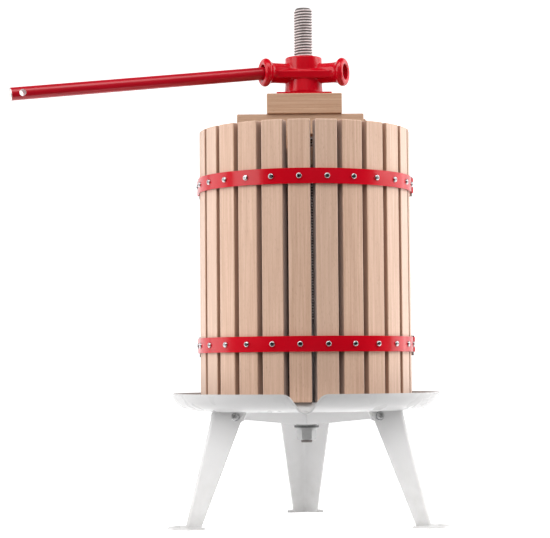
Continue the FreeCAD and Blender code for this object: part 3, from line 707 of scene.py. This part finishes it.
# %% [markdown]
# ## The studio
# A sheet of white paper sweeps from the floor up, far behind the press, so there is no horizon. It glows
# faintly, which keeps it white right to the edges. The front half of the floor would mirror itself in the
# red paint and fade it, so the sheet is cut up and the front piece is kept out of mirrors and bounced light.
# The far floor and the wall glow more, because the lamps hardly reach them.

# %% Paper sweep
PAPER_SPLIT = -0.35
NEAR_FLOOR_END = 1.6
CURL_START = 5.6
CURL_R = 1.4
HALF_WIDTH = 9.0
WHITE = rgb(1.0, 1.0, 1.0)


def paper_sheet(name, profile):
    """A wide sheet through (depth, height) points."""
    bm = bmesh.new()
    left = [bm.verts.new((-HALF_WIDTH, y, z)) for y, z in profile]
    right = [bm.verts.new((HALF_WIDTH, y, z)) for y, z in profile]
    for k in range(len(profile) - 1):
        bm.faces.new((left[k], right[k], right[k + 1], left[k + 1]))
    sheet = made(name, bm)
    for polygon in sheet.data.polygons:
        polygon.use_smooth = True
    return sheet


def paper_finish(name, glow):
    paper = Surface(name)
    fibre = noise(paper, place(paper), 900.0, 3.0)
    return finished(paper, {
        "Base Color": colour_between(paper, fibre, rgb(0.90, 0.90, 0.90), rgb(0.94, 0.94, 0.94)),
        "Roughness": 0.85,
        "Specular IOR Level": 0.2,
        "Emission Color": WHITE,
        "Emission Strength": glow,
    })


steps = [math.radians(a) for a in range(6, 91, 6)]
curl = [(CURL_START + CURL_R * math.sin(a), CURL_R - CURL_R * math.cos(a)) for a in steps]
wall_top = (CURL_START + CURL_R, 8.0)
paper_wall = paper_sheet("paper_wall", [(NEAR_FLOOR_END, 0.0), (CURL_START, 0.0)] + curl + [wall_top])
paper_wall.visible_diffuse = False
paper_back = paper_sheet("paper_back", [(PAPER_SPLIT, 0.0), (NEAR_FLOOR_END, 0.0)])
paper_front = paper_sheet("paper_front", [(-8.0, 0.0), (PAPER_SPLIT, 0.0)])
paper_front.visible_glossy = False
paper_front.visible_diffuse = False
floor_paper = paper_finish("floor_paper", 0.46)
dress(paper_wall, paper_finish("wall_paper", 0.85))
for sheet in (paper_back, paper_front):
    dress(sheet, floor_paper)
print("paper:", [sheet.name for sheet in (paper_wall, paper_back, paper_front)])

# %% [markdown]
# ## Soft boxes
# Large lamps stand at both sides, a little behind the press. Its flanks glow, its front stays calm, and the
# round bands carry a pale stripe on each side. A lamp does two jobs: it lights the wood, and it is mirrored
# in the paint. The fill lamps only do the first, so wood can be bright while the paint keeps its colour.

# %% Soft boxes and room light
def soft_box(name, spot, aim, width, height, watts, mirrored=True):
    """An area lamp at a spot, turned towards an aim."""
    lamp = bpy.data.lights.new(name, "AREA")
    lamp.shape = "RECTANGLE"
    lamp.size = width
    lamp.size_y = height
    lamp.energy = watts
    stand = bpy.data.objects.new(name, lamp)
    stand.location = spot
    stand.rotation_euler = (Vector(aim) - Vector(spot)).to_track_quat("-Z", "Y").to_euler()
    stand.visible_glossy = mirrored
    bpy.context.scene.collection.objects.link(stand)


soft_box("left_box", (-1.75, 0.45, 0.70), (0, 0, 0.60), 1.0, 1.4, 7.0)
soft_box("left_fill", (-1.75, 0.35, 1.10), (0, 0, 0.50), 1.0, 1.4, 11.0, mirrored=False)
soft_box("left_glow", (-1.53, -0.76, 1.35), (0, 0, 0.45), 1.2, 1.8, 18.0)
soft_box("right_box", (1.75, 0.78, 0.95), (0, 0, 0.80), 1.05, 1.9, 9.5)
soft_box("right_fill", (1.75, 0.25, 1.40), (0, 0, 0.55), 1.05, 1.9, 28.0, mirrored=False)
soft_box("right_glow", (1.75, -0.05, 1.35), (0, 0, 0.45), 0.8, 1.5, 12.0)
soft_box("top_box", (0.0, -1.4, 2.6), (0, 0, 0.4), 2.6, 1.4, 44.0)
soft_box("front_glow", (0.0, -2.5, 1.75), (0, 0, 0.62), 2.4, 1.2, 16.0, mirrored=False)
room = bpy.data.worlds.new("room")
room.use_nodes = True
background = room.node_tree.nodes["Background"]
background.inputs["Color"].default_value = WHITE
background.inputs["Strength"].default_value = 0.29
room.cycles_visibility.glossy = False
bpy.context.scene.world = room
bpy.context.scene.view_settings.view_transform = "Standard"

# %% [markdown]
# ## The camera
# The photograph was taken with a long lens from low in front, a hand's breadth to the left, looking slightly
# up. Known edges of the press were fitted to it, which gave the place, the pitch and a small roll.

# %% Camera
PITCH = 0.055
ROLL = 0.0078
STAND = Vector((-0.0430, -2.6, 0.2149))
FOCAL_PIXELS = 1832.551
FRAME_PIXELS = 550.0
SENSOR = 36.0
lens = bpy.data.cameras.new("camera")
lens.lens = FOCAL_PIXELS * SENSOR / FRAME_PIXELS
lens.sensor_width = SENSOR
camera = bpy.data.objects.new("camera", lens)
right = Vector((math.cos(ROLL), math.sin(ROLL) * math.sin(PITCH), -math.sin(ROLL) * math.cos(PITCH)))
ahead = Vector((0.0, math.cos(PITCH), math.sin(PITCH)))
up = right.cross(ahead)
camera.matrix_world = Matrix((
    (right.x, up.x, -ahead.x, STAND.x),
    (right.y, up.y, -ahead.y, STAND.y),
    (right.z, up.z, -ahead.z, STAND.z),
    (0, 0, 0, 1),
))
bpy.context.scene.collection.objects.link(camera)
bpy.context.scene.camera = camera
print("lens", round(lens.lens, 2), "mm")
